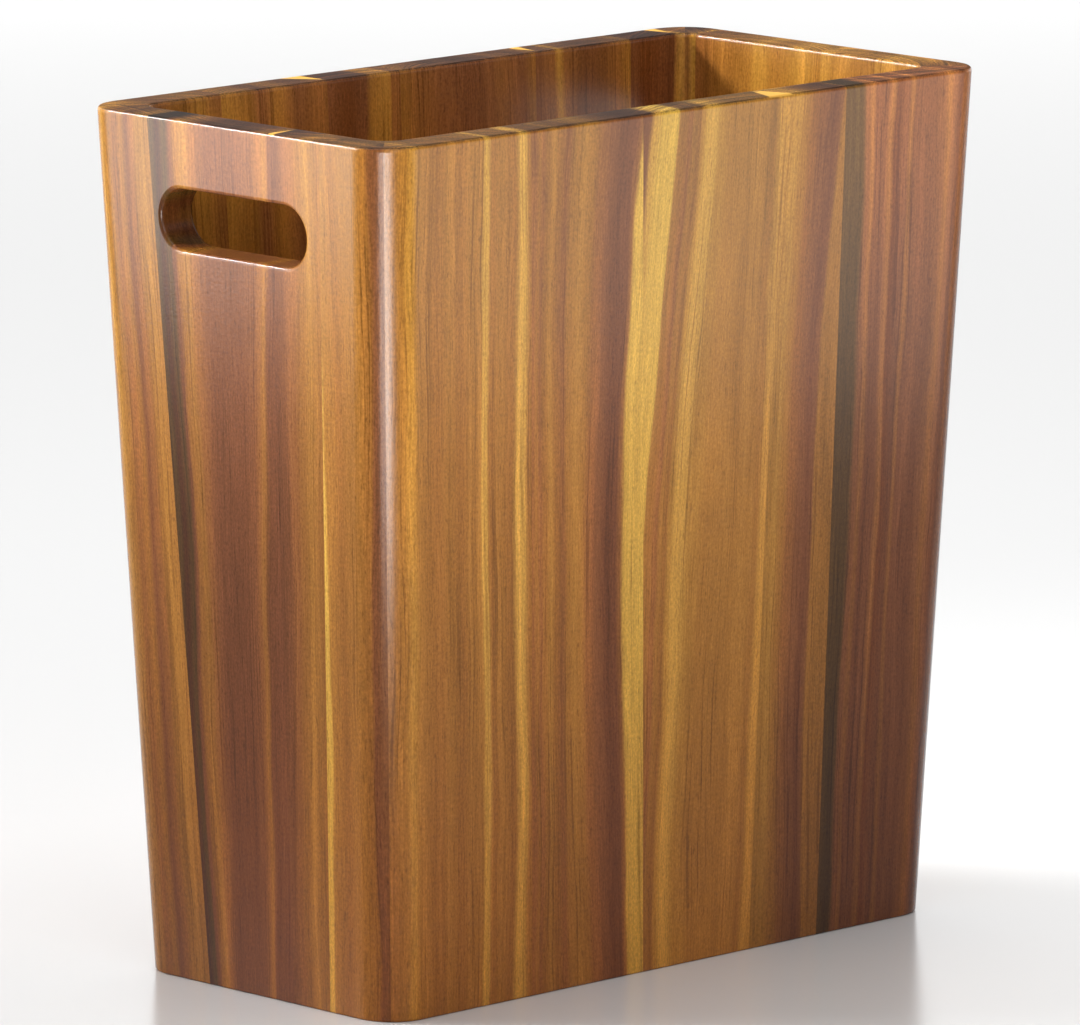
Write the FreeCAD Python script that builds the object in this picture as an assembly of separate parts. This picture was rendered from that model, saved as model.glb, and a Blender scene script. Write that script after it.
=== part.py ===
import FreeCAD, Part
import os

# A slim wooden wastebasket. Four tapered walls, each glued up from upright staves, meet in
# mitres that hidden splines lock. A floor of three boards sits in a groove round the inside.
# Millimetres. The origin is on the ground at the middle of the base: X runs along the long
# walls, Y across, Z up.

Vector = FreeCAD.Vector

# Outside sizes
HEIGHT = 320.0
RIM_LENGTH = 310.0
RIM_WIDTH = 160.0
BASE_LENGTH = 281.0
BASE_WIDTH = 135.0

# Walls
WALL = 16.0
CORNER_RADIUS = 16.0
COVE_RADIUS = 8.0
RIM_ROUNDING = 1.5
FOOT_ROUNDING = 1.0

# Hand holes, one through each end wall
HOLE_LENGTH = 76.0
HOLE_HEIGHT = 22.5
HOLE_MIDDLE = 283.5
HOLE_ROUNDING = 1.5

# Floor and the groove that holds it
FLOOR_THICKNESS = 8.0
FLOOR_UNDERSIDE = 10.0
GROOVE_DEPTH = 6.0
FLOOR_PLAY = 0.5

# Splines, stopped short of the floor groove and of the rim so that neither shows them
SPLINE_THICKNESS = 3.0
SPLINE_WIDTH = 10.0
SPLINE_BOTTOM = 26.0
SPLINE_TOP = 304.0

# Glue lines between staves, each as (place at the rim, place at the base) along its wall
FRONT_SEAMS = [(-82.0, -69.5), (-26.0, -13.0), (45.0, 42.0), (79.0, 77.5)]
BACK_SEAMS = [(-100.0, -90.0), (-47.0, -42.0), (-10.0, -9.0), (60.0, 55.0), (110.0, 100.0)]
LEFT_SEAMS = [(-47.0, -36.0), (-20.0, -17.0), (43.5, 28.0)]
RIGHT_SEAMS = [(-8.0, -7.0), (58.0, 48.0)]
FLOOR_SEAMS = [-20.0, 18.0]

# The corners, as signs of X and Y
LEFT_FRONT = (-1, -1)
RIGHT_FRONT = (1, -1)
RIGHT_BACK = (1, 1)
LEFT_BACK = (-1, 1)

# How far cutting shapes reach past the work
MARGIN = 10.0


def at_height(base, rim, z):
    """Value at height z of something that runs straight from base to rim."""
    return base + (rim - base) * z / HEIGHT


def half_length(z):
    return at_height(BASE_LENGTH, RIM_LENGTH, z) / 2


def half_width(z):
    return at_height(BASE_WIDTH, RIM_WIDTH, z) / 2


def solid_between(lower, upper):
    """Flat-sided solid between two outlines that have the same number of points."""
    outlines = [lower[::-1], upper]
    for i in range(len(lower)):
        j = (i + 1) % len(lower)
        outlines.append([lower[i], lower[j], upper[j], upper[i]])
    faces = [Part.Face(Part.makePolygon(outline + outline[:1])) for outline in outlines]
    solid = Part.Solid(Part.Shell(faces))
    if solid.Volume < 0:
        solid.reverse()
    return solid


def tapered_block(inset, low, high):
    """Block whose sides lie a fixed distance inside the wastebasket's outer faces."""
    outlines = []
    for z in (low, high):
        x = half_length(z) - inset
        y = half_width(z) - inset
        outlines.append([Vector(-x, -y, z), Vector(x, -y, z), Vector(x, y, z), Vector(-x, y, z)])
    return solid_between(*outlines)


def round_upright_edges(block, radius):
    upright = [edge for edge in block.Edges if edge.BoundBox.ZLength > HEIGHT / 2]
    return block.makeFillet(radius, upright)


def level_edges(shape, z):
    """Edges that lie flat at height z."""
    return [edge for edge in shape.Edges
            if abs(edge.BoundBox.ZMin - z) < 0.01 and abs(edge.BoundBox.ZMax - z) < 0.01]


def hand_hole_cutter():
    """Bar with round ends, right through both end walls."""
    start = -RIM_LENGTH / 2 - MARGIN
    radius = HOLE_HEIGHT / 2
    run = (HOLE_LENGTH - HOLE_HEIGHT) / 2
    top = HOLE_MIDDLE + radius
    bottom = HOLE_MIDDLE - radius
    top_left = Vector(start, -run, top)
    top_right = Vector(start, run, top)
    bottom_left = Vector(start, -run, bottom)
    bottom_right = Vector(start, run, bottom)
    left_end = Vector(start, -run - radius, HOLE_MIDDLE)
    right_end = Vector(start, run + radius, HOLE_MIDDLE)
    outline = Part.Wire([
        Part.LineSegment(top_left, top_right).toShape(),
        Part.Arc(top_right, right_end, bottom_right).toShape(),
        Part.LineSegment(bottom_right, bottom_left).toShape(),
        Part.Arc(bottom_left, left_end, top_left).toShape(),
    ])
    return Part.Face(outline).extrude(Vector(-2 * start, 0, 0))


def hand_hole_edges(shape):
    """Edges where the hand holes meet the faces of the end walls."""
    found = []
    for edge in shape.Edges:
        box = edge.BoundBox
        across_the_wall = box.XLength > WALL / 2
        beside_hole = box.YMin > -HOLE_LENGTH / 2 - 1 and box.YMax < HOLE_LENGTH / 2 + 1
        level_with_hole = abs(box.Center.z - HOLE_MIDDLE) < HOLE_HEIGHT / 2 + 1
        if beside_hole and level_with_hole and not across_the_wall:
            found.append(edge)
    return found


def floor_block(play):
    """The space of the whole floor in its groove, smaller all round by the play."""
    x = half_length(FLOOR_UNDERSIDE) - WALL + GROOVE_DEPTH - play
    y = half_width(FLOOR_UNDERSIDE) - WALL + GROOVE_DEPTH - play
    return Part.makeBox(2 * x, 2 * y, FLOOR_THICKNESS, Vector(-x, -y, FLOOR_UNDERSIDE))


def walls_in_one():
    """All four walls as one ring, with rounded edges, hand holes and the floor groove."""
    outer = round_upright_edges(tapered_block(0, 0, HEIGHT), CORNER_RADIUS)
    hollow = round_upright_edges(tapered_block(WALL, -MARGIN, HEIGHT + MARGIN), COVE_RADIUS)
    ring = outer.cut(hollow)
    ring = ring.makeFillet(RIM_ROUNDING, level_edges(ring, HEIGHT))
    ring = ring.makeFillet(FOOT_ROUNDING, level_edges(ring, 0))
    ring = ring.cut(hand_hole_cutter())
    ring = ring.makeFillet(HOLE_ROUNDING, hand_hole_edges(ring))
    return ring.cut(floor_block(0))


def mitred_region(side):
    """The space of one wall between its two mitre planes. side is front, back, left or right."""
    ends = {"front": (LEFT_FRONT, RIGHT_FRONT), "back": (RIGHT_BACK, LEFT_BACK),
            "left": (LEFT_BACK, LEFT_FRONT), "right": (RIGHT_FRONT, RIGHT_BACK)}
    first, last = ends[side]
    outlines = []
    for z in (-MARGIN, HEIGHT + MARGIN):
        outline = []
        for corner, inset in ((first, -MARGIN), (last, -MARGIN), (last, 2 * WALL), (first, 2 * WALL)):
            x_side, y_side = corner
            x = x_side * (half_length(z) - inset)
            y = y_side * (half_width(z) - inset)
            outline.append(Vector(x, y, z))
        outlines.append(outline)
    return solid_between(*outlines)


def stave_slab(side, first, last):
    """Upright slab between two glue lines, reaching through the wastebasket."""
    along_x = side in ("front", "back")
    outlines = []
    for z in (-MARGIN, HEIGHT + MARGIN):
        low = at_height(first[1], first[0], z)
        high = at_height(last[1], last[0], z)
        if along_x:
            reach = half_width(z) + MARGIN
            points = [(low, -reach), (high, -reach), (high, reach), (low, reach)]
        else:
            reach = half_length(z) + MARGIN
            points = [(-reach, low), (reach, low), (reach, high), (-reach, high)]
        outlines.append([Vector(x, y, z) for x, y in points])
    return solid_between(*outlines)


def cut_into_staves(ring, side, seams):
    """One wall of the ring as a list of staves, in order along the wall."""
    wall = ring.common(mitred_region(side))
    beyond = RIM_LENGTH
    lines = [(-beyond, -beyond)] + seams + [(beyond, beyond)]
    staves = []
    for first, last in zip(lines, lines[1:]):
        staves.append(wall.common(stave_slab(side, first, last)))
    return staves


def mitre_spline(corner):
    """Flat strip across the middle of one mitre."""
    x_side, y_side = corner
    along = Vector(x_side, y_side, 0).normalize() * (SPLINE_THICKNESS / 2)
    across = Vector(x_side, -y_side, 0).normalize() * (SPLINE_WIDTH / 2)
    outlines = []
    for z in (SPLINE_BOTTOM, SPLINE_TOP):
        x = x_side * (half_length(z) - WALL / 2)
        y = y_side * (half_width(z) - WALL / 2)
        middle = Vector(x, y, z)
        outlines.append([
            middle - along - across,
            middle + along - across,
            middle + along + across,
            middle - along + across,
        ])
    return solid_between(*outlines)


def floor_boards():
    """The floor as boards that run along X, edge to edge."""
    whole = floor_block(FLOOR_PLAY)
    box = whole.BoundBox
    lines = [box.YMin] + FLOOR_SEAMS + [box.YMax]
    boards = []
    for low, high in zip(lines, lines[1:]):
        corner = Vector(box.XMin, low, box.ZMin)
        boards.append(Part.makeBox(box.XLength, high - low, FLOOR_THICKNESS, corner))
    return boards


def whole_wastebasket():
    """Every piece by name."""
    splines = {
        "mitre_spline_front_left": mitre_spline(LEFT_FRONT),
        "mitre_spline_front_right": mitre_spline(RIGHT_FRONT),
        "mitre_spline_back_left": mitre_spline(LEFT_BACK),
        "mitre_spline_back_right": mitre_spline(RIGHT_BACK),
    }

    ring = walls_in_one()
    for spline in splines.values():
        ring = ring.cut(spline)

    pieces = {}
    walls = {"front": FRONT_SEAMS, "back": BACK_SEAMS, "left": LEFT_SEAMS, "right": RIGHT_SEAMS}
    for side, seams in walls.items():
        for number, stave in enumerate(cut_into_staves(ring, side, seams), start=1):
            pieces[f"{side}_stave_{number}"] = stave
    for number, board in enumerate(floor_boards(), start=1):
        pieces[f"floor_board_{number}"] = board
    pieces.update(splines)
    return pieces


os.makedirs("parts", exist_ok=True)
for name, shape in whole_wastebasket().items():
    print(name, len(shape.Solids), "solid", shape.isValid(), round(shape.Volume / 1000, 2), "cm3")
    shape.exportStep(f"parts/{name}.step")
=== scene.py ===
import math

import bpy
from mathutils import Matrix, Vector


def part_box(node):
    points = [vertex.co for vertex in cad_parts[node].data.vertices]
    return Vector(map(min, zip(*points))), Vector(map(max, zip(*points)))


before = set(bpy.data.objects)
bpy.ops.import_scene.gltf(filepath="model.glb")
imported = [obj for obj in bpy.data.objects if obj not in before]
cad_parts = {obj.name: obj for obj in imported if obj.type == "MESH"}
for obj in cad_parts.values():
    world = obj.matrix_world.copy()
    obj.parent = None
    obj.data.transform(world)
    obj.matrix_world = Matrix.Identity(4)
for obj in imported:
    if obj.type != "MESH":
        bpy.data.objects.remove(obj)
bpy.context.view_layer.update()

# A slim wooden wastebasket. Its staves, floor boards and splines are the CAD nodes; this script
# gives each its own solid wood, and sets the floor, the lights and the camera.
# Places and sizes inside the wood are in millimetres, in the frame of the CAD model.

MM = 0.001
HEIGHT = 320.0
BOARD_THICKNESS = 16.0
HALF_HEIGHT = HEIGHT / 2

# Half sizes of the outside at the base and at the rim, for the walls that face Y and those that face X
OUTSIDE = {"Y": (67.5, 80.0), "X": (140.5, 155.0)}


# ---------------------------------------------------------------- wood tones

TONES = {
    "gold": (206, 157, 68),
    "straw": (196, 142, 62),
    "honey": (178, 122, 50),
    "amber": (169, 112, 46),
    "tan": (160, 104, 43),
    "oak": (151, 95, 40),
    "umber": (143, 86, 42),
    "mauve": (130, 76, 42),
    "walnut": (118, 67, 38),
    "russet": (110, 58, 28),
    "bark": (84, 55, 24),
    "cocoa": (80, 42, 20),
}


def linear(tone):
    """Scene-linear colour of a named tone."""
    channels = []
    for level in TONES[tone]:
        value = level / 255
        channels.append(value / 12.92 if value <= 0.04045 else ((value + 0.055) / 1.055) ** 2.4)
    return channels


# Each stave's bands of tone, as (place along the wall at mid height, tone), in millimetres.
# lean is how far the grain moves along the wall from the base to the rim, and bow is how far its
# two ends stand off to the high side, each at the stave's low and high edge.
# The height tone is how light the stave is at the base, the middle and the rim, partly its own tone
# and partly painted light: lighter towards the rim, darker towards the base.
# pith is the middle of the growth rings: its place along the wall, its depth behind the outer
# face, and how much deeper it lies at the rim than at the base.
# sapwood is the middle and the half width, at the outer face, of a pale wedge in the end grain.
STAVES = {
    "front_stave_1": {
        "bands": [
            (-150, "oak"), (-142, "oak"), (-138, "tan"), (-134, "honey"), (-130, "tan"),
            (-121, "oak"), (-116, "tan"), (-111, "oak"), (-106, "tan"), (-101, "tan"),
            (-99.5, "straw"), (-98, "straw"), (-96, "oak"), (-91, "tan"), (-85, "oak"),
            (-82, "straw"), (-80, "straw"), (-77, "oak"),
        ],
        "lean": (-14, -12), "bow": (0, 0), "height_tone_and_painted_light": (1.12, 1.0, 0.92), "pith": (-150, -60, 0),
    },
    "front_stave_2": {
        "bands": [
            (-76, "umber"), (-73.5, "oak"), (-72, "umber"), (-70, "oak"), (-67, "amber"),
            (-65, "oak"), (-61, "umber"), (-58, "tan"), (-54, "amber"), (-51, "tan"),
            (-47, "umber"), (-42, "mauve"), (-37, "walnut"), (-33, "walnut"), (-31, "umber"),
            (-28.5, "gold"), (-20, "gold"),
        ],
        "lean": (-12, -3), "bow": (0, 8), "height_tone_and_painted_light": (1.05, 0.98, 0.87), "pith": (-60, -90, 0),
    },
    "front_stave_3": {
        "bands": [
            (-46, "walnut"), (-37, "mauve"), (-33, "straw"), (-29, "gold"), (-20.5, "gold"),
            (-19, "tan"), (-16, "oak"), (-13, "umber"), (-10.5, "tan"), (-8, "oak"),
            (-6, "honey"), (-3, "straw"), (0, "straw"), (5, "honey"), (12, "amber"),
            (34, "amber"), (38, "tan"), (41, "honey"), (44, "honey"),
        ],
        "lean": (17, 8), "bow": (11, 0), "height_tone_and_painted_light": (1.05, 1.03, 0.85), "pith": (14, -90, 0),
        "sapwood": (44, 6),
    },
    "front_stave_4": {
        "bands": [
            (43, "honey"), (49, "honey"), (53, "tan"), (57, "umber"), (62, "mauve"),
            (66, "walnut"), (68, "mauve"), (70, "tan"), (77, "tan"),
        ],
        "lean": (6, 8), "bow": (0, 5), "height_tone_and_painted_light": (0.75, 1, 1.15), "pith": (60, 90, 0),
        "sapwood": (46, 6),
    },
    "front_stave_5": {
        "bands": [
            (79, "bark"), (86, "bark"), (89, "mauve"), (91, "umber"), (93, "walnut"),
            (98, "walnut"), (101, "umber"), (103, "russet"), (108, "walnut"), (110, "umber"),
            (112, "walnut"), (120, "walnut"), (125, "mauve"), (128, "umber"), (131, "mauve"),
            (134, "russet"), (137, "mauve"), (148, "walnut"),
        ],
        # Its rim is lightened far past the others: a painted sheen standing in for the haze of light
        # on its top.
        "lean": (5, 14), "bow": (0, 0), "height_tone_and_painted_light": (0.78, 0.95, 1.8), "pith": (150, 120, 0),
    },
    "left_stave_1": {
        "bands": [
            (-74, "umber"), (-70, "umber"), (-66, "mauve"), (-64, "oak"), (-60, "tan"),
            (-55, "tan"), (-51, "oak"), (-47, "tan"), (-44.5, "amber"), (-43, "gold"),
            (-39, "gold"),
        ],
        "lean": (-12, -5), "bow": (0, 2), "height_tone_and_painted_light": (1.05, 0.8, 0.84), "pith": (-60, -90, 0),
    },
    "left_stave_2": {
        "bands": [
            (-41, "oak"), (-38, "tan"), (-35, "amber"), (-31, "oak"), (-27, "umber"),
            (-22, "mauve"), (-18, "walnut"),
        ],
        "lean": (-6, -14), "bow": (0, 0), "height_tone_and_painted_light": (0.9, 0.72, 0.98), "pith": (-4, 60, 0),
        "sapwood": (-20, 4),
    },
    "left_stave_3": {
        "bands": [
            (-18, "walnut"), (-14, "walnut"), (-11, "oak"), (-9, "umber"), (-6, "mauve"),
            (0, "walnut"), (7, "walnut"), (12, "walnut"), (15, "mauve"), (18, "umber"),
            (22, "tan"), (24.5, "oak"), (27, "walnut"), (29, "bark"), (33, "cocoa"),
            (36, "bark"),
        ],
        "lean": (-16, 14), "bow": (0, 0), "height_tone_and_painted_light": (1.0, 0.78, 1.1), "pith": (4, 60, 0),
    },
    "left_stave_4": {
        "bands": [
            (36, "tan"), (40, "amber"), (43, "tan"), (46, "umber"), (49, "mauve"),
            (52, "oak"), (56, "umber"), (60, "tan"), (64, "honey"), (68, "amber"),
        ],
        "lean": (14, 12), "bow": (0, 0), "height_tone_and_painted_light": (0.85, 0.93, 0.93), "pith": (70, -90, 0),
    },
    "right_stave_1": {
        "bands": [
            (-74, "umber"), (-62, "oak"), (-50, "amber"), (-38, "honey"), (-30, "tan"),
            (-18, "amber"), (-8, "honey"),
        ],
        "lean": (-8, 0), "bow": (0, 0), "height_tone_and_painted_light": (0.95, 1, 1.15), "pith": (-30, 40, 20),
    },
    "right_stave_2": {
        "bands": [
            (-8, "amber"), (2, "honey"), (14, "tan"), (22, "honey"), (27, "tan"),
            (40, "oak"), (53, "umber"),
        ],
        "lean": (0, 10), "bow": (0, 0), "height_tone_and_painted_light": (0.95, 1, 1.15), "pith": (20, 60, 0),
    },
    "right_stave_3": {
        "bands": [(53, "honey"), (55, "oak"), (62, "walnut"), (74, "russet")],
        "lean": (10, 12), "bow": (0, 0), "height_tone_and_painted_light": (0.9, 1, 1), "pith": (90, 60, 0),
    },
    "back_stave_1": {
        "bands": [
            (-148, "oak"), (-136, "amber"), (-124, "umber"), (-112, "oak"), (-104, "tan"),
            (-95, "umber"),
        ],
        "lean": (-14, -10), "bow": (0, 0), "height_tone_and_painted_light": (1, 1, 1), "pith": (-160, 60, 0),
    },
    "back_stave_2": {
        "bands": [
            (-95, "tan"), (-84, "oak"), (-76, "mauve"), (-68, "oak"), (-58, "mauve"),
            (-50, "umber"), (-45, "umber"),
        ],
        "lean": (-10, -5), "bow": (0, 0), "height_tone_and_painted_light": (1, 1, 1), "pith": (-70, 60, 0),
        "sapwood": (-46, 13),
    },
    "back_stave_3": {
        "bands": [
            (-45, "walnut"), (-36, "russet"), (-28, "walnut"), (-25, "tan"), (-16, "amber"),
            (-14, "umber"), (-9, "umber"),
        ],
        "lean": (-5, -1), "bow": (0, 0), "height_tone_and_painted_light": (1, 1, 1), "pith": (-30, 70, 0),
    },
    "back_stave_4": {
        "bands": [
            (-9, "oak"), (0, "umber"), (12, "mauve"), (24, "walnut"), (34, "mauve"),
            (40, "umber"), (50, "mauve"), (57, "oak"),
        ],
        "lean": (-1, 5), "bow": (0, 0), "height_tone_and_painted_light": (1, 1, 1), "pith": (15, 24, 20),
    },
    "back_stave_5": {
        "bands": [
            (57, "mauve"), (66, "umber"), (69, "honey"), (72, "umber"), (84, "mauve"),
            (96, "umber"), (105, "tan"),
        ],
        "lean": (5, 10), "bow": (0, 0), "height_tone_and_painted_light": (1, 1, 1), "pith": (85, 60, 0),
        "sapwood": (62, 4),
    },
    "back_stave_6": {
        "bands": [
            (105, "walnut"), (112, "russet"), (124, "walnut"), (127, "honey"), (130, "umber"),
            (148, "tan"),
        ],
        "lean": (10, 14), "bow": (0, 0), "height_tone_and_painted_light": (1, 1, 1), "pith": (150, 60, 0),
        "sapwood": (134, 4),
    },
}


# ---------------------------------------------------------------- shader graphs

# How far apart in the noise two seeds lie, and the seeds that each layer adds to its stave's own
SEED_STEP = 37.0
CLUSTER_SEED = 3
LINE_SEED = 7
RING_SEED = 11

# A ramp holds colours up to 1, so the height tones with their painted light are divided by the
# strongest one and multiplied back
TONE_AND_PAINTED_LIGHT_TOP = 1.8
# Tints at the base, the middle and the rim: partly the wood's tone and partly painted light and shade
# by height
HEIGHT_TINTS_WITH_PAINTED_LIGHT = ((1.02, 0.90, 0.66), (0.98, 1.01, 0.98), (0.88, 0.95, 0.82))
STREAK_GAIN = 1.155

# Feature sizes in millimetres: across the grain, through the board and along the grain
WANDER_SIZE = (30.0, 30.0, 130.0)
RIPPLE_SIZE = (5.0, 8.0, 40.0)
STREAK_SIZE = (1.7, 30.0, 240.0)
LINE_SIZE = (1.0, 12.0, 110.0)
CLUSTER_SIZE = (9.0, 30.0, 160.0)
FIBRE_SIZE = (0.5, 0.8, 16.0)
PORE_SIZE = (0.7, 0.8, 5.0)
SPECKLE_AND_GLINT_SIZE = (0.8, 0.8, 1.3)
RING_SIZE = (1.1, 14.0, 240.0)
LEATHER_SIZE = (0.9, 0.9, 0.9)

# How far the grain wanders and ripples to each side, in millimetres
WANDER = 4.0
RIPPLE = 1.0

# What is left of the colour in a streak, a hairline and a pore
STREAK_STOPS = [
    (0.28, (0.56, 0.54, 0.52)), (0.42, (0.74, 0.73, 0.72)), (0.52, (0.82, 0.82, 0.82)),
    (0.66, (1.0, 1.0, 1.0)),
]
LINE_TINT = (0.45, 0.40, 0.36)
PORE_TINT = (0.5, 0.45, 0.40)

# The heights between which upright grain turns to sawn end grain, and the soft edge of its sapwood
RIM_START = 300.0
RIM_END = 312.0
SAPWOOD_EDGE = 1.5

END_GRAIN_ROUGHNESS = 0.95
LACQUER_IOR = 1.35
LEATHER_DEPTH = 0.042 * MM
LEATHER_FIBRES = 0.35


class Graph:
    """Short calls that add linked nodes to a material."""

    def __init__(self, name):
        self.material = bpy.data.materials.new(name)
        self.material.use_nodes = True
        self.tree = self.material.node_tree
        self.tree.nodes.clear()
        self.shader = self.add("ShaderNodeBsdfPrincipled")
        output = self.add("ShaderNodeOutputMaterial")
        self.tree.links.new(self.shader.outputs[0], output.inputs[0])

    def add(self, kind):
        return self.tree.nodes.new(kind)

    def put(self, value, socket):
        """Links an output to a socket, or sets the socket to a plain value."""
        if isinstance(value, bpy.types.NodeSocket):
            self.tree.links.new(value, socket)
        else:
            socket.default_value = value

    def math(self, operation, first, second=0.0):
        node = self.add("ShaderNodeMath")
        node.operation = operation
        self.put(first, node.inputs[0])
        self.put(second, node.inputs[1])
        return node.outputs[0]

    def smooth_step(self, value, low, high, from_value=0.0, to_value=1.0):
        node = self.add("ShaderNodeMapRange")
        node.interpolation_type = "SMOOTHSTEP"
        self.put(value, node.inputs["Value"])
        node.inputs["From Min"].default_value = low
        node.inputs["From Max"].default_value = high
        node.inputs["To Min"].default_value = from_value
        node.inputs["To Max"].default_value = to_value
        return node.outputs[0]

    def scale_range(self, value, low, high, from_value=0.0, to_value=1.0):
        node = self.add("ShaderNodeMapRange")
        self.put(value, node.inputs["Value"])
        node.inputs["From Min"].default_value = low
        node.inputs["From Max"].default_value = high
        node.inputs["To Min"].default_value = from_value
        node.inputs["To Max"].default_value = to_value
        return node.outputs[0]

    def vector(self, x, y, z):
        node = self.add("ShaderNodeCombineXYZ")
        for value, socket in zip((x, y, z), node.inputs):
            self.put(value, socket)
        return node.outputs[0]

    def noise(self, vector, detail=2.0, roughness=0.5):
        node = self.add("ShaderNodeTexNoise")
        self.put(vector, node.inputs["Vector"])
        node.inputs["Scale"].default_value = 1.0
        node.inputs["Detail"].default_value = detail
        node.inputs["Roughness"].default_value = roughness
        return node.outputs["Fac"]

    def ramp(self, value, stops):
        node = self.add("ShaderNodeValToRGB")
        node.color_ramp.interpolation = "EASE"
        self.put(value, node.inputs[0])
        elements = node.color_ramp.elements
        while len(elements) < len(stops):
            elements.new(0.5)
        for element, (place, colour) in zip(elements, stops):
            element.position = place
            element.color = (*colour, 1.0)
        return node.outputs[0]

    def mix(self, factor, first, second, blend="MIX"):
        node = self.add("ShaderNodeMix")
        node.data_type = "RGBA"
        node.blend_type = blend
        self.put(factor, node.inputs["Factor"])
        for value, socket in ((first, node.inputs["A"]), (second, node.inputs["B"])):
            self.put((*value, 1.0) if isinstance(value, (tuple, list)) else value, socket)
        return node.outputs["Result"]

    def tint(self, colour, tint, gain=1.0):
        """The colour times a tint, times a plain gain."""
        tinted = self.mix(1.0, colour, tint, "MULTIPLY")
        if gain == 1.0:
            return tinted
        node = self.add("ShaderNodeVectorMath")
        node.operation = "SCALE"
        self.put(tinted, node.inputs[0])
        node.inputs["Scale"].default_value = gain
        return node.outputs[0]

    def millimetres(self):
        """The place in the CAD frame, in millimetres, as three values."""
        place = self.add("ShaderNodeTexCoord").outputs["Object"]
        scaled = self.add("ShaderNodeVectorMath")
        scaled.operation = "SCALE"
        self.put(place, scaled.inputs[0])
        scaled.inputs["Scale"].default_value = 1 / MM
        parts = self.add("ShaderNodeSeparateXYZ")
        self.put(scaled.outputs[0], parts.inputs[0])
        return parts.outputs

    def facing_up(self):
        """1 on faces that cut across upright grain, 0 on upright faces."""
        parts = self.add("ShaderNodeSeparateXYZ")
        self.put(self.add("ShaderNodeNewGeometry").outputs["Normal"], parts.inputs[0])
        return self.smooth_step(self.math("ABSOLUTE", parts.outputs[2]), 0.45, 0.85)


def stretched_noise(graph, sizes, places, seed, detail=2.0, roughness=0.55):
    """Noise whose features have the given sizes in millimetres along the three places."""
    scaled = [graph.math("DIVIDE", place, size) for place, size in zip(places, sizes)]
    shifted = graph.math("ADD", scaled[2], seed * SEED_STEP)
    return graph.noise(graph.vector(scaled[0], scaled[1], shifted), detail, roughness)


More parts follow.
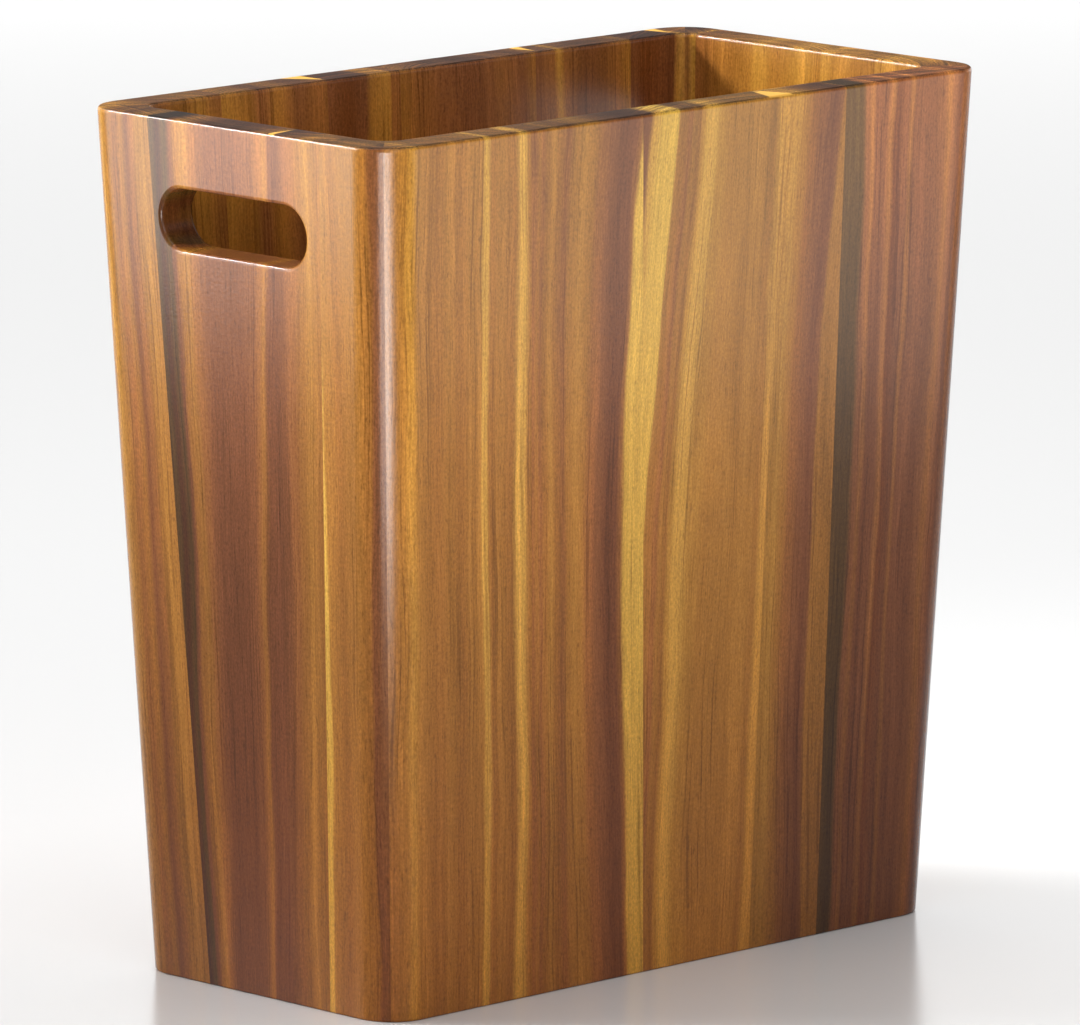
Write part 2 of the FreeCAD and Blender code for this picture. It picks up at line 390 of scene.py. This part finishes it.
def wood(name, axes, seed, bands, lean, bow, height_tone_and_painted_light, pith, sapwood=None):
    """Solid wood whose bands, streaks, pores and growth rings run right through the piece.

    axes gives which of X, Y and Z run across the bands, through the board and along the grain.
    """
    graph = Graph(name)
    parts = graph.millimetres()
    across, through, along = (parts["XYZ".index(axis)] for axis in axes)
    upright = axes[2] == "Z"
    height = graph.math("SUBTRACT", along, HALF_HEIGHT if upright else 0.0)
    rise = graph.math("DIVIDE", height, HEIGHT)

    # How deep a point lies behind the slanting outer face
    at_base, at_rim = OUTSIDE[axes[1]] if upright else (0.0, 0.0)
    outer_face = graph.scale_range(rise, -0.5, 0.5, at_base, at_rim)
    depth = graph.math("SUBTRACT", outer_face, graph.math("ABSOLUTE", through))

    # Straighten the grain: take away its lean, its bow and a slow wander
    low, high = bands[0][0], bands[-1][0]
    leaning = graph.math("MULTIPLY", rise, graph.scale_range(across, low, high, *lean))
    squared = graph.math("MULTIPLY", graph.math("MULTIPLY", rise, rise), 4.0)
    bowing = graph.math("MULTIPLY", squared, graph.scale_range(across, low, high, *bow))
    board_place = (across, through, along)
    slow = stretched_noise(graph, WANDER_SIZE, board_place, seed, 1.0)
    wander = graph.scale_range(slow, 0.0, 1.0, -WANDER, WANDER)
    quick = stretched_noise(graph, RIPPLE_SIZE, board_place, seed)
    ripple = graph.scale_range(quick, 0.0, 1.0, -RIPPLE, RIPPLE)
    grain = graph.math("SUBTRACT", graph.math("SUBTRACT", across, leaning), bowing)
    grain = graph.math("ADD", graph.math("ADD", grain, wander), ripple)

    # Growth rings about a pith that can slope through the board, which draws arches on the face
    pith_place, pith_depth, pith_slope = pith
    centre = graph.math("ADD", graph.math("MULTIPLY", rise, pith_slope), pith_depth)
    sideways = graph.math("SUBTRACT", grain, pith_place)
    inward = graph.math("SUBTRACT", depth, centre)
    sideways_squared = graph.math("MULTIPLY", sideways, sideways)
    inward_squared = graph.math("MULTIPLY", inward, inward)
    ring = graph.math("SQRT", graph.math("ADD", sideways_squared, inward_squared))
    grain_place = (grain, depth, along)
    ring_place = (ring, depth, along)

    # The stave's own bands, then its height tone, partly painted light: lighter towards the rim and
    # darker towards the base
    stops = [((where - low) / (high - low), linear(tone)) for where, tone in bands]
    colour = graph.ramp(graph.scale_range(grain, low, high), stops)
    tone_and_painted_light_stops = [
        (step / 2, tuple(value * part / TONE_AND_PAINTED_LIGHT_TOP for part in tint))
        for step, (value, tint) in enumerate(zip(height_tone_and_painted_light, HEIGHT_TINTS_WITH_PAINTED_LIGHT))
    ]
    colour = graph.tint(colour, graph.ramp(graph.scale_range(rise, -0.5, 0.5), tone_and_painted_light_stops), TONE_AND_PAINTED_LIGHT_TOP)

    # Streaks, clusters of dark hairlines, fibres, short pores and a fine speckle, partly the wood's
    # mottle and partly painted glints of the leathery lacquer
    streaks = stretched_noise(graph, STREAK_SIZE, ring_place, seed, 3.0, 0.65)
    colour = graph.tint(colour, graph.ramp(streaks, STREAK_STOPS), STREAK_GAIN)
    lines = stretched_noise(graph, LINE_SIZE, grain_place, seed + LINE_SEED)
    clusters = stretched_noise(graph, CLUSTER_SIZE, grain_place, seed + CLUSTER_SEED, 1.0)
    strength = graph.smooth_step(clusters, 0.46, 0.60, 0.03, 0.65)
    line_depth = graph.math("MULTIPLY", graph.smooth_step(lines, 0.53, 0.63), strength)
    colour = graph.mix(line_depth, colour, graph.tint(colour, LINE_TINT))
    fibres = stretched_noise(graph, FIBRE_SIZE, grain_place, seed, 2.0, 0.65)
    fibre_level = graph.scale_range(fibres, 0.3, 0.7, 0.80, 1.18)
    colour = graph.tint(colour, graph.vector(fibre_level, fibre_level, fibre_level))
    pores = stretched_noise(graph, PORE_SIZE, grain_place, seed, 1.0)
    pore_depth = graph.smooth_step(pores, 0.60, 0.72, 0.0, 0.55)
    colour = graph.mix(pore_depth, colour, graph.tint(colour, PORE_TINT))
    speckle_and_painted_glint = stretched_noise(graph, SPECKLE_AND_GLINT_SIZE, grain_place, seed, 1.0)
    speckle_and_glint_level = graph.scale_range(speckle_and_painted_glint, 0.25, 0.75, 0.80, 1.24)
    colour = graph.tint(colour, graph.vector(speckle_and_glint_level, speckle_and_glint_level, speckle_and_glint_level))

    # End grain drinks in the lacquer: darker, duller and with sharper rings
    end_grain = 0.0
    if upright:
        near_rim = graph.smooth_step(along, RIM_START, RIM_END)
        end_grain = graph.math("MULTIPLY", graph.facing_up(), near_rim)
    rings = stretched_noise(graph, RING_SIZE, ring_place, seed + RING_SEED, 3.0, 0.6)
    channels = graph.add("ShaderNodeSeparateColor")
    graph.put(colour, channels.inputs[0])
    ring_strength = graph.scale_range(rings, 0.32, 0.66, 0.6, 2.4)
    ring_level = graph.math("MULTIPLY", ring_strength, channels.outputs["Red"])
    sawn = graph.tint(colour, graph.vector(ring_level, ring_level, ring_level))
    if sapwood:
        middle, half_width = sapwood
        offset = graph.math("ABSOLUTE", graph.math("SUBTRACT", across, middle))
        narrowing = graph.math("MULTIPLY", depth, half_width / BOARD_THICKNESS)
        edge = graph.math("ADD", offset, narrowing)
        wedge = graph.smooth_step(edge, half_width, half_width - SAPWOOD_EDGE)
        sawn = graph.mix(wedge, sawn, linear("gold"))
    colour = graph.mix(end_grain, colour, sawn)
    graph.put(colour, graph.shader.inputs["Base Color"])
    gloss = graph.scale_range(fibres, 0.2, 0.8, 0.19, 0.27)
    dull = graph.math("MULTIPLY", end_grain, END_GRAIN_ROUGHNESS)
    graph.put(graph.math("MAXIMUM", gloss, dull), graph.shader.inputs["Roughness"])
    graph.shader.inputs["IOR"].default_value = LACQUER_IOR

    # Lacquer over fine pores: a soft leathery surface with faint upright fibres
    leather = stretched_noise(graph, LEATHER_SIZE, parts, 0)
    relief = graph.math("ADD", leather, graph.math("MULTIPLY", fibres, LEATHER_FIBRES))
    bump = graph.add("ShaderNodeBump")
    bump.inputs["Strength"].default_value = 1.0
    bump.inputs["Distance"].default_value = LEATHER_DEPTH
    graph.put(relief, bump.inputs["Height"])
    graph.put(bump.outputs[0], graph.shader.inputs["Normal"])
    return graph.material


def give(node_name, material):
    """Puts the material on a CAD node's slots."""
    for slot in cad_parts[node_name].material_slots:
        slot.material = material


def finish_staves():
    for seed, (name, look) in enumerate(STAVES.items()):
        axes = "XYZ" if name.startswith(("front", "back")) else "YXZ"
        give(name, wood(name, axes, seed, **look))


def finish_hidden_wood():
    """Floor boards with their grain along X, and the splines."""
    plain = {"lean": (0, 0), "bow": (0, 0), "height_tone_and_painted_light": (1, 1, 1)}
    for number in (1, 2, 3):
        name = f"floor_board_{number}"
        low, high = (corner.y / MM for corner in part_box(name))
        middle = (low + high) / 2
        bands = [(low, "tan"), ((low + middle) / 2, "amber"), (middle, "oak"), (high, "honey")]
        give(name, wood(name, "YZX", 30 + number, bands, pith=(low, -40, 0), **plain))
    spline_bands = [(-150, "honey"), (150, "amber")]
    spline_wood = wood("spline", "XYZ", 40, spline_bands, pith=(0, 200, 0), **plain)
    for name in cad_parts:
        if name.startswith("mitre_spline"):
            give(name, spline_wood)


# ---------------------------------------------------------------- stage

VIEW_AZIMUTH = math.radians(-44.23)
VIEW_ELEVATION = math.radians(10.3)
VIEW_DISTANCE = 4.063
VIEW_TARGET = Vector((0.0, 0.0, 0.1608))
LENS_MM = 367.1
WALL_RADIANCE = 0.6

# The world's walls fade between these heights, as the upward part of a view direction
FADE_START = 0.15
FADE_END = 0.7

FLOOR_REACH = 12.0
FLOOR_GREY = 0.8
FLOOR_ROUGHNESS = 0.22
AIM_HEIGHT = 0.1


def pointed(thing, place, target):
    """Puts a camera or light at a place and points it at a target."""
    thing.location = place
    thing.rotation_euler = (Vector(target) - Vector(place)).to_track_quat("-Z", "Y").to_euler()
    bpy.context.scene.collection.objects.link(thing)
    return thing


def set_camera():
    data = bpy.data.cameras.new("camera")
    data.sensor_width = 36.0
    data.lens = LENS_MM
    data.clip_end = 100.0
    back = Vector((
        math.sin(VIEW_AZIMUTH) * math.cos(VIEW_ELEVATION),
        -math.cos(VIEW_AZIMUTH) * math.cos(VIEW_ELEVATION),
        math.sin(VIEW_ELEVATION),
    ))
    camera = bpy.data.objects.new("camera", data)
    pointed(camera, VIEW_TARGET + back * VIEW_DISTANCE, VIEW_TARGET)
    bpy.context.scene.camera = camera


def soft_box(name, bearing, distance, low, high, width, strength, rise=0, spread=180):
    """An upright light panel facing the middle of the stage, from low to high above the floor.

    The bearing is measured like a view's azimuth. The panel looks up by its rise, and its grid
    keeps the light inside its spread. These angles are in degrees.
    """
    data = bpy.data.lights.new(name, "AREA")
    data.shape = "RECTANGLE"
    data.size, data.size_y = width, high - low
    data.energy = strength * math.pi * width * (high - low)
    data.spread = math.radians(spread)
    light = bpy.data.objects.new(name, data)
    light.visible_camera = False
    middle = (low + high) / 2
    turn = math.radians(bearing)
    place = (math.sin(turn) * distance, -math.cos(turn) * distance, middle)
    pointed(light, place, (0, 0, middle + distance * math.tan(math.radians(rise))))


def overhead_box(name, place, width, strength):
    """A square light panel above the stage, aimed at the wastebasket."""
    data = bpy.data.lights.new(name, "AREA")
    data.shape = "SQUARE"
    data.size = width
    data.energy = strength * math.pi * width * width
    light = bpy.data.objects.new(name, data)
    light.visible_camera = False
    pointed(light, place, (0, 0, AIM_HEIGHT))


def set_world():
    """Pale walls all round the stage that fade to a dark ceiling."""
    world = bpy.data.worlds.new("studio")
    world.use_nodes = True
    tree = world.node_tree
    direction = tree.nodes.new("ShaderNodeTexCoord")
    parts = tree.nodes.new("ShaderNodeSeparateXYZ")
    fade = tree.nodes.new("ShaderNodeMapRange")
    fade.interpolation_type = "SMOOTHSTEP"
    fade.inputs["From Min"].default_value = FADE_START
    fade.inputs["From Max"].default_value = FADE_END
    fade.inputs["To Min"].default_value = WALL_RADIANCE
    fade.inputs["To Max"].default_value = 0.0
    tree.links.new(direction.outputs["Generated"], parts.inputs[0])
    tree.links.new(parts.outputs["Z"], fade.inputs["Value"])
    tree.links.new(fade.outputs[0], tree.nodes["Background"].inputs["Color"])
    bpy.context.scene.world = world


def set_lights():
    soft_box("key_low", -44, 0.72, 0.0, 0.26, 0.45, 1.48, rise=22, spread=52)
    soft_box("corner", -44, 0.72, 0.0, 0.20, 0.06, 2.2, rise=22, spread=52)
    soft_box("key_high", -25, 0.75, 0.45, 0.90, 0.7, 0.42, rise=-22, spread=60)
    soft_box("side_low", 225, 0.95, 0.08, 0.40, 0.5, 0.6, rise=14, spread=50)
    soft_box("side_high", 225, 1.2, 0.36, 0.62, 0.7, 0.95, rise=-9, spread=50)
    soft_box("edge", 215, 0.9, 0.78, 0.86, 0.9, 8.0, rise=-30, spread=40)
    soft_box("right", 45, 0.80, 0.05, 0.40, 0.6, 0.26, rise=15, spread=60)
    soft_box("backdrop", 135.7, 3.0, 0.0, 0.95, 6.0, 1.3)
    overhead_box("top", (0, 0, 1.6), 1.4, 3.2)


def set_floor():
    mesh = bpy.data.meshes.new("studio_floor")
    signs = ((-1, -1), (1, -1), (1, 1), (-1, 1))
    corners = [(x * FLOOR_REACH, y * FLOOR_REACH, 0) for x, y in signs]
    mesh.from_pydata(corners, [], [(0, 1, 2, 3)])
    floor = bpy.data.objects.new("studio_floor", mesh)
    bpy.context.scene.collection.objects.link(floor)
    graph = Graph("studio_floor")
    graph.shader.inputs["Base Color"].default_value = (FLOOR_GREY, FLOOR_GREY, FLOOR_GREY, 1)
    graph.shader.inputs["Roughness"].default_value = FLOOR_ROUGHNESS
    mesh.materials.append(graph.material)


finish_staves()
finish_hidden_wood()
set_floor()
set_world()
set_lights()
set_camera()
bpy.context.scene.view_settings.view_transform = "Standard"
